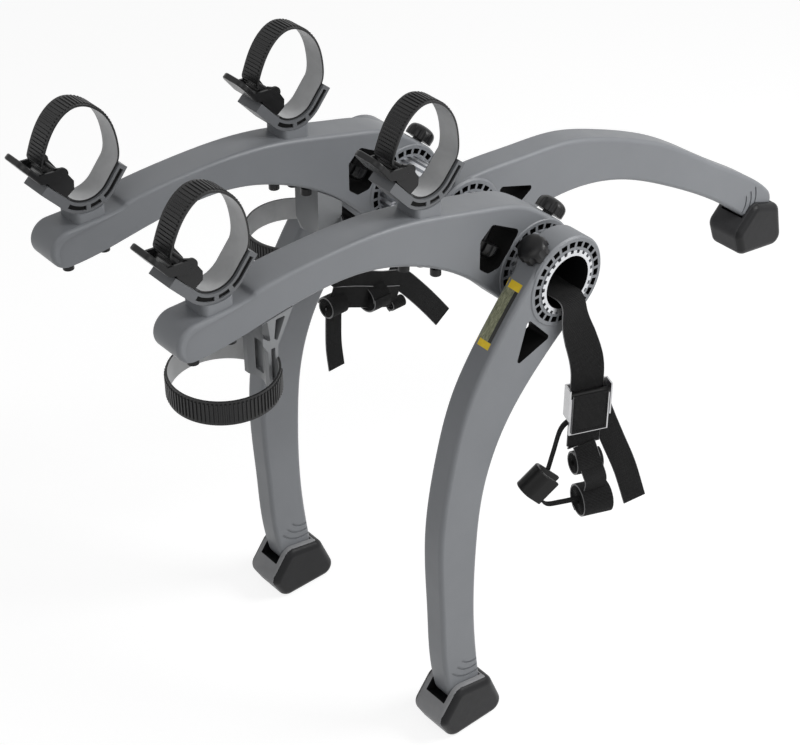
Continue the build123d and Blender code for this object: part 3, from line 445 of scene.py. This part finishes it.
def ridge(mesh, centre, along, across, out, length, width, height):
    """One moulded ridge with sloped sides, sunk a little into what carries it."""
    sink = 0.4
    top_half_length = 0.28
    top_half_width = 0.485
    signs = ((-1, -1), (1, -1), (1, 1), (-1, 1))
    low = [centre + a * along * length / 2 + b * across * width / 2 - out * height * sink for a, b in signs]
    high = [centre + a * along * length * top_half_length + b * across * width * top_half_width + out * height
            for a, b in signs]
    verts = [mesh.verts.new(point) for point in low + high]
    for face in ((3, 2, 1, 0), (4, 5, 6, 7), (0, 1, 5, 4), (1, 2, 6, 5), (2, 3, 7, 6), (3, 0, 4, 7)):
        mesh.faces.new([verts[i] for i in face])


def two_tone(node, chosen_material, other_material, is_chosen):
    """The node's faces that a test picks get one material, the rest another."""
    data = node.data
    data.materials.clear()
    data.materials.append(other_material)
    data.materials.append(chosen_material)
    for polygon in data.polygons:
        polygon.material_index = 1 if is_chosen(Vector(polygon.center), Vector(polygon.normal)) else 0


# Ladder straps: a painted reflection makes the inner face pale, and ridges on the outer face
def dress_ladder_strap(side, place):
    name = f"ladder_strap_{side}_{place}"
    node = nodes[name]
    low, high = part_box(name)
    centre = Vector(((low.x + high.x) / 2, *STRAP_CENTRES[place]))

    def faces_in(middle, normal):
        toward = Vector((0, centre.y - middle.y, centre.z - middle.z)).normalized()
        return abs(normal.x) < 0.5 and normal.dot(toward) > 0.3

    two_tone(node, strap_painted_reflection, strap_black, faces_in)
    faces = surface(node)
    mesh = bmesh.new()
    previous = None
    ray_start, ray_reach = 0.2, 0.3
    angle, last_angle = LADDER_RIDGE_ANGLES
    while angle < last_angle:
        direction = Vector((0, math.cos(math.radians(angle)), math.sin(math.radians(angle))))
        hit, normal = faces.ray_cast(centre + direction * ray_start, -direction, ray_reach)[:2]
        angle += LADDER_SEARCH_STEP
        if hit is None or hit.z < LADDER_RIDGE_LOW:
            continue
        if previous is not None and (hit - previous).length < LADDER_RIDGE_PITCH:
            continue
        previous = hit
        out = Vector((0, normal.y, normal.z)).normalized()
        if out.dot(direction) < 0:
            out = -out
        # Lower ridges leave room for the closed lever
        under_lever = LEVER_ANGLES[0] < angle < LEVER_ANGLES[1]
        height = LEVER_RIDGE_HEIGHT if under_lever else RIDGE_HEIGHT
        along = Vector((0, -out.z, out.y))
        ridge(mesh, hit, along, Vector((1, 0, 0)), out, LADDER_RIDGE_LENGTH, RIDGE_WIDTH, height)
    piece(f"{name}_ridges", mesh, [strap_black], f"{side}_arm")


# Anti-sway straps: a painted reflection makes the inner face pale, and upright ridges outside
def dress_sway_strap(side, x, y, top):
    def faces_in(middle, normal):
        toward = Vector((x - middle.x, y - middle.y, 0))
        return abs(normal.z) < 0.5 and normal.dot(toward) > 0

    two_tone(nodes[f"sway_strap_{side}"], strap_painted_reflection, strap_black, faces_in)
    mesh = bmesh.new()
    centre = Vector((x, y, top - STRAP_WIDTH / 2))
    for i in range(SWAY_RIDGE_COUNT):
        turn = 360.0 * i / SWAY_RIDGE_COUNT
        if SWAY_BARE_ANGLES[0] < turn < SWAY_BARE_ANGLES[1]:
            continue
        out = Vector((math.cos(math.radians(turn)), math.sin(math.radians(turn)), 0))
        along = Vector((-out.y, out.x, 0))
        place = centre + out * SWAY_RADIUS
        ridge(mesh, place, along, Vector((0, 0, 1)), out, SWAY_RIDGE_LENGTH, RIDGE_WIDTH, RIDGE_HEIGHT)
    piece(f"sway_strap_{side}_ridges", mesh, [strap_black], f"{side}_arm")


for side in ("right", "left"):
    for place in STRAP_CENTRES:
        dress_ladder_strap(side, place)
for loop in SWAY_LOOPS:
    dress_sway_strap(*loop)


# The tube's bore is black inside
def in_bore(middle, normal):
    return abs(normal.x) < 0.5 and math.hypot(middle.y, middle.z) < BORE_LIMIT


two_tone(nodes["spline_tube"], bore_black, tube_metal, in_bore)


# Pockets round the drums and the windows' walls get painted shade: near black inside
def inside(y, z, outline):
    """Whether a point lies in an outline."""
    found = False
    for (y0, z0), (y1, z1) in zip(outline, outline[1:] + outline[:1]):
        if (z0 > z) != (z1 > z) and y < (y1 - y0) * (z - z0) / (z1 - z0) + y0:
            found = not found
    return found


def grown(outline, by):
    """An outline with each corner moved away from its middle."""
    middle_y = sum(y for y, z in outline) / len(outline)
    middle_z = sum(z for y, z in outline) / len(outline)
    made = []
    for y, z in outline:
        away = math.hypot(y - middle_y, z - middle_z)
        made.append((y + (y - middle_y) / away * by, z + (z - middle_z) / away * by))
    return made


def leg_window(angle, turned, chord, bulge):
    """The corners of a leg's window, for a leg that leaves the tube at an angle."""
    along = (math.cos(math.radians(angle)), math.sin(math.radians(angle)))
    across = (along[1], -along[0]) if turned else (-along[1], along[0])
    return [
        (u * chord * along[0] + v * bulge * across[0], u * chord * along[1] + v * bulge * across[1])
        for u, v in LEG_WINDOW_SHARES
    ]


def darken(name, centre_x, drum_width, window):
    near_window = grown(window, WINDOW_MARGIN)

    def is_hollow(middle, normal):
        radius = math.hypot(middle.y, middle.z)
        from_face = drum_width / 2 - abs(middle.x - centre_x)
        if POCKET_LIMITS[0] < radius < POCKET_LIMITS[1] and from_face >= DRUM_FACE_MARGIN:
            return True
        return abs(normal.x) < 0.3 and inside(middle.y, middle.z, near_window)

    two_tone(nodes[name], pocket_painted_shade, grey, is_hollow)


lower_window = leg_window(LOWER_LEG_ANGLE, True, LOWER_LEG_CHORD, LOWER_LEG_BULGE)
upper_window = leg_window(UPPER_LEG_ANGLE, False, UPPER_LEG_CHORD, UPPER_LEG_BULGE)
arm_window = [(-u * ARM_REACH, v * ARM_RISE) for u, v in ARM_WINDOW_SHARES]
darken("lower_leg_right", LOWER_LEG_X, LEG_DRUM_WIDTH, lower_window)
darken("lower_leg_left", -LOWER_LEG_X, LEG_DRUM_WIDTH, lower_window)
darken("upper_leg", 0.0, UPPER_DRUM_WIDTH, upper_window)
darken("bike_arm_right", ARM_X, ARM_DRUM_WIDTH, arm_window)
darken("bike_arm_left", -ARM_X, ARM_DRUM_WIDTH, arm_window)


# The boots' sides and backs are smooth and painted near black as shade, the rest is greyer
def on_shaded_boot_side(middle, normal):
    return abs(normal.x) > 0.35 or normal.y > 0.3


for name, rest in (("lower_right", boot), ("lower_left", boot), ("upper", upper_boot)):
    two_tone(nodes[f"foot_{name}"], boot_painted_shade, rest, on_shaded_boot_side)


# Webbing
class Hang:
    """An upright plane that webbing hangs in: level across, up, and out of the plane."""

    def __init__(self, x, y, turn):
        self.origin = Vector((x, y, 0))
        self.level = Vector((math.sin(math.radians(turn)), math.cos(math.radians(turn)), 0))
        self.out = Vector((self.level.y, -self.level.x, 0))
        self.up = Vector((0, 0, 1))

    def at(self, across, up, out=0.0):
        """A point, from millimetres."""
        return self.origin + (across * self.level + up * self.up + out * self.out) / 1000


def roll(mesh, hang, across, up, length, radius, core, start=90.0, lean=0.0):
    """A wound roll of webbing, in millimetres, whose axis runs across the hanging plane."""
    turns = (radius - core) / 1000 / ROLL_PITCH
    steps = int(turns * ROLL_STEPS)
    centre = hang.at(across, up)
    path = []
    for i in range(steps + 1):
        turn = math.radians(start + 360 * turns * i / steps)
        reach = core / 1000 + ROLL_PITCH * turns * i / steps
        squash = 1 + ROLL_SQUASH * math.sin(2 * turn + lean)
        path.append(centre + reach * squash * (math.cos(turn) * hang.out + math.sin(turn) * hang.up))
    band_mesh(mesh, path, hang.level, length / 1000, ROLL_THICKNESS, ROLL_HIGHLIGHTED_ROWS)


def flat_run(mesh, hang, width, points, thickness=WEB_THICKNESS):
    """A band that lies in the hanging plane. Its width and points are in millimetres."""
    path = smooth_path([hang.at(*point) for point in points], 7)
    across = [heading(path, i).cross(hang.out).normalized() for i in range(len(path))]
    band_mesh(mesh, path, across, width / 1000, thickness, len(path))


def bore_run(mesh, hang, side, y, across, down):
    """The main strap: from its pin low along the bore, out over the lip and down.

    It turns into the hanging plane below the lip, and is narrower where the lip gathers it.
    """
    turn_top = 0.026
    turn_drop = 0.062
    lip_z = -0.022
    lip_reach = 0.04
    lip_gather = 0.006
    bore_route = (
        (0.058, 0, -0.0041), (0.082, 0, -0.0060), (0.108, 0, -0.0150), (0.145, 0, -0.0185),
        (0.1635, 0, -0.0190), (0.1705, 0, -0.0265), (0.1745, 0.001, -0.048),
    )
    route = [Vector((side * x, y + sideways, z)) for x, sideways, z in bore_route]
    route += [hang.at(across - 2.5, -90.0), hang.at(across, -128.0), hang.at(across, down)]
    path = smooth_path(route)
    sides = []
    widths = []
    for point in path:
        share = min(max((-point.z - turn_top) / turn_drop, 0), 1)
        sides.append(Vector((0, 1, 0)).lerp(hang.level, share).normalized())
        widths.append(MAIN_WIDTH - lip_gather * max(0.0, 1 - abs(point.z - lip_z) / lip_reach))
    band_mesh(mesh, path, sides, widths, WEB_THICKNESS, len(path))


def make_right_webbing(hang):
    mesh = bmesh.new()
    bore_run(mesh, hang, 1, y=0.0055, across=9.5, down=-196.0)
    flat_run(mesh, hang, 36, [(10, -120, -1.6), (11, -160, -2.2), (13, -190, -5), (16, -208, -13)])
    roll(mesh, hang, 14, -220, length=30, radius=14, core=3.5)
    flat_run(mesh, hang, 25, [(10, -196, 2), (16, -222, 14.6), (22, -240, 12), (24, -256, 6)])
    roll(mesh, hang, 25, -274, length=34, radius=19, core=4.0, start=200.0, lean=1.0)
    flat_run(mesh, hang, 26, [(25, -150, -3), (33, -172, -2), (44, -200, 0), (60, -240, 1), (74, -286, 3)])
    sling = (
        (-5, -156), (-18, -168), (-25, -196), (-31, -222), (-39, -246), (-31, -264), (-12, -267), (14, -267),
    )
    sling_out = 3.75
    path = smooth_path([hang.at(across, up, sling_out) for across, up in sling])
    band_mesh(mesh, path, hang.out, SLING_WIDTH, WEB_THICKNESS)
    made = piece("webbing_right_layers", mesh, [web, painted_edge_highlight], "tube")
    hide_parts("webbing_right")


def make_left_webbing(hang):
    mesh = bmesh.new()
    bore_run(mesh, hang, -1, y=0.0, across=12.0, down=-178.0)
    flat_run(mesh, hang, 37, [(-12, -150, 1), (14, -178, 3), (44, -196, 2), (76, -208, 1), (88, -214, 0)])
    flat_run(mesh, hang, 28, [(-20, -186, 2), (10, -196, 5), (50, -214, 4), (78, -226, 2)])
    roll(mesh, hang, -15, -199, length=24, radius=14, core=3.0)
    roll(mesh, hang, 44, -211, length=25, radius=18, core=4.0, start=140.0, lean=0.6)
    roll(mesh, hang, 80, -238, length=20, radius=8, core=2.5, start=40.0)
    flat_run(mesh, hang, 24, [(-14, -200, -1), (-16, -225, 0), (-17, -255, 1), (-16, -285, 4)])
    flat_run(mesh, hang, 27, [(66, -192, 0), (88, -208, 1), (114, -238, 2), (136, -266, 2), (152, -288, 3)])
    made = piece("webbing_left_layers", mesh, [web, painted_edge_highlight], "tube")
    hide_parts("webbing_left")


right_hang = Hang(0.182, 0.008, 22.0)
left_hang = Hang(-0.186, 0.0, 0.0)
left_pad_hang = Hang(-0.186, 0.019, 180.0)
make_right_webbing(right_hang)
make_left_webbing(left_hang)


# The cam levers' hubs are coated
def on_hub(middle, normal):
    return middle.z > -0.128


for side in ("right", "left"):
    two_tone(nodes[f"cam_lever_{side}"], coating, steel, on_hub)


# Stitched grip pads on the cam levers, in millimetres, with a thread along three edges
def make_pad(side, hang):
    pad_width = 39.6
    pad_thickness = 1.6
    pad_points = [(9.5, up, 11.5) for up in (-123.8, -140, -156, -171.6)]
    thread_out = 12.35
    thread_width = 0.9
    thread_height = 0.35
    stitch_count = 12
    stitch_start = 0.18
    stitch_end = 0.82
    top_left, top_right, low_left, low_right = (-8.3, -126), (27.3, -126), (-8.3, -168), (27.3, -168)
    mesh = bmesh.new()
    flat_run(mesh, hang, pad_width, pad_points, pad_thickness / 1000)
    for (u0, v0), (u1, v1) in ((low_left, low_right), (top_left, low_left), (top_right, low_right)):
        for i in range(stitch_count):
            a = (i + stitch_start) / stitch_count
            b = (i + stitch_end) / stitch_count
            start = hang.at(u0 + (u1 - u0) * a, v0 + (v1 - v0) * a, thread_out)
            end = hang.at(u0 + (u1 - u0) * b, v0 + (v1 - v0) * b, thread_out)
            along = (end - start).normalized()
            across = hang.out.cross(along)
            length = (end - start).length
            middle = (start + end) / 2
            ridge(mesh, middle, along, across, hang.out, length, thread_width / 1000, thread_height / 1000)
    piece(f"cam_pad_{side}", mesh, [web, painted_edge_highlight], f"{side}_cam_lever")


make_pad("right", right_hang)
make_pad("left", left_pad_hang)


# Plain angle label on the right leg's front: bands, border and a bare panel
def make_label():
    yellow_color = (0.93, 0.66, 0.03)
    yellow = Shader("label_yellow", yellow_color, 0.42)
    yellow.color(yellow.ramp(yellow.noise(scale=160, detail=3), shades(yellow_color, 0.08)))
    ink = Shader("label_black", (0.012, 0.012, 0.01), 0.4)
    ink.roughness(ink.between(ink.noise(scale=90, detail=3), 0.32, 0.5))
    panel = Shader("label_panel", (0.20, 0.205, 0.13), 0.45)
    worn = panel.noise(scale=700, detail=5, vector=panel.stretched((1, 0.25, 0.25)), roughness=0.7)
    panel.color(panel.ramp(worn, [
        (0.30, (0.06, 0.065, 0.035)),
        (0.52, (0.26, 0.27, 0.17)),
        (0.75, (0.50, 0.50, 0.33)),
    ]))
    leg = surface(nodes["lower_leg_right"])
    row_count, column_count = 12, 4
    ray_start, ray_reach, lift = -0.3, 0.4, 0.00025

    def on_leg(x, z):
        hit, normal = leg.ray_cast(Vector((x, ray_start, z)), Vector((0, 1, 0)), ray_reach)[:2]
        return hit + normal * lift

    mesh = bmesh.new()
    # Each field: top, low, left, right, and its material's number
    layout = (
        (0.0140, 0.0075, 0.1372, 0.1560, 0), (0.0073, -0.0365, 0.1378, 0.1512, 2),
        (0.0073, -0.0365, 0.1512, 0.1555, 1), (-0.0367, -0.0425, 0.1372, 0.1560, 0),
    )
    for top, low, left, right, material in layout:
        rows = []
        for i in range(row_count + 1):
            z = top + (low - top) * i / row_count
            columns = [left + (right - left) * j / column_count for j in range(column_count + 1)]
            rows.append([mesh.verts.new(on_leg(x, z)) for x in columns])
        for i in range(row_count):
            for j in range(column_count):
                face = mesh.faces.new([rows[i][j], rows[i + 1][j], rows[i + 1][j + 1], rows[i][j + 1]])
                face.material_index = material
                face.smooth = True
    materials = [yellow.material, ink.material, panel.material]
    piece("angle_label", mesh, materials, "right_lower_leg")


make_label()


# Floor and light
def direct_rays(tree):
    """1 for camera, glossy and transmission rays, which see the background as white."""
    path = tree.nodes.new("ShaderNodeLightPath")
    total = path.outputs["Is Camera Ray"]
    for name in ("Is Glossy Ray", "Is Transmission Ray"):
        larger = tree.nodes.new("ShaderNodeMath")
        larger.operation = "MAXIMUM"
        tree.links.new(total, larger.inputs[0])
        tree.links.new(path.outputs[name], larger.inputs[1])
        total = larger.outputs["Value"]
    return total


def floor_material():
    """White paper that lights the rack, and that the camera sees as nearly white with faint shadows."""
    material = bpy.data.materials.new("floor")
    material.use_nodes = True
    tree = material.node_tree
    lit = tree.nodes["Principled BSDF"]
    lit.inputs["Base Color"].default_value = (0.85, 0.85, 0.85, 1)
    lit.inputs["Roughness"].default_value = 0.9
    shadow = tree.nodes.new("ShaderNodeBsdfDiffuse")
    shadow.inputs["Color"].default_value = (0.34, 0.34, 0.34, 1)
    glow = tree.nodes.new("ShaderNodeEmission")
    glow.inputs["Strength"].default_value = 0.82
    seen = tree.nodes.new("ShaderNodeAddShader")
    tree.links.new(shadow.outputs["BSDF"], seen.inputs[0])
    tree.links.new(glow.outputs["Emission"], seen.inputs[1])
    mix = tree.nodes.new("ShaderNodeMixShader")
    tree.links.new(direct_rays(tree), mix.inputs["Fac"])
    tree.links.new(lit.outputs["BSDF"], mix.inputs[1])
    tree.links.new(seen.outputs["Shader"], mix.inputs[2])
    tree.links.new(mix.outputs["Shader"], tree.nodes["Material Output"].inputs["Surface"])
    return material


def make_floor():
    size = 12
    z = cad_box[0][2] - 0.0005
    data = bpy.data.meshes.new("floor")
    corners = [(-size, -size, z), (size, -size, z), (size, size, z), (-size, size, z)]
    data.from_pydata(corners, [], [(0, 1, 2, 3)])
    data.materials.append(floor_material())
    floor = bpy.data.objects.new("floor", data)
    scene.collection.objects.link(floor)


def make_world():
    """White where the camera sees it, and dimmer as a light on the rack."""
    world = bpy.data.worlds.new("world")
    scene.world = world
    world.use_nodes = True
    tree = world.node_tree
    strength = tree.nodes.new("ShaderNodeMapRange")
    strength.inputs["To Min"].default_value = 0.28
    strength.inputs["To Max"].default_value = 1.0
    tree.links.new(direct_rays(tree), strength.inputs["Value"])
    background = tree.nodes["Background"]
    background.inputs["Color"].default_value = (1, 1, 1, 1)
    tree.links.new(strength.outputs["Result"], background.inputs["Strength"])


def add_light(name, place, size, power):
    """An area light that points at the tube."""
    data = bpy.data.lights.new(name, "AREA")
    data.size = size
    data.energy = power
    light = bpy.data.objects.new(name, data)
    light.location = place
    light.rotation_euler = (-Vector(place)).to_track_quat("-Z", "Y").to_euler()
    scene.collection.objects.link(light)


make_floor()
make_world()
add_light("key", (0.95, 0.95, 0.95), size=0.8, power=19.0)
add_light("front", (0.9, -1.9, 1.9), size=1.6, power=11.0)
add_light("fill", (2.2, 0.1, 0.1), size=1.5, power=8.0)
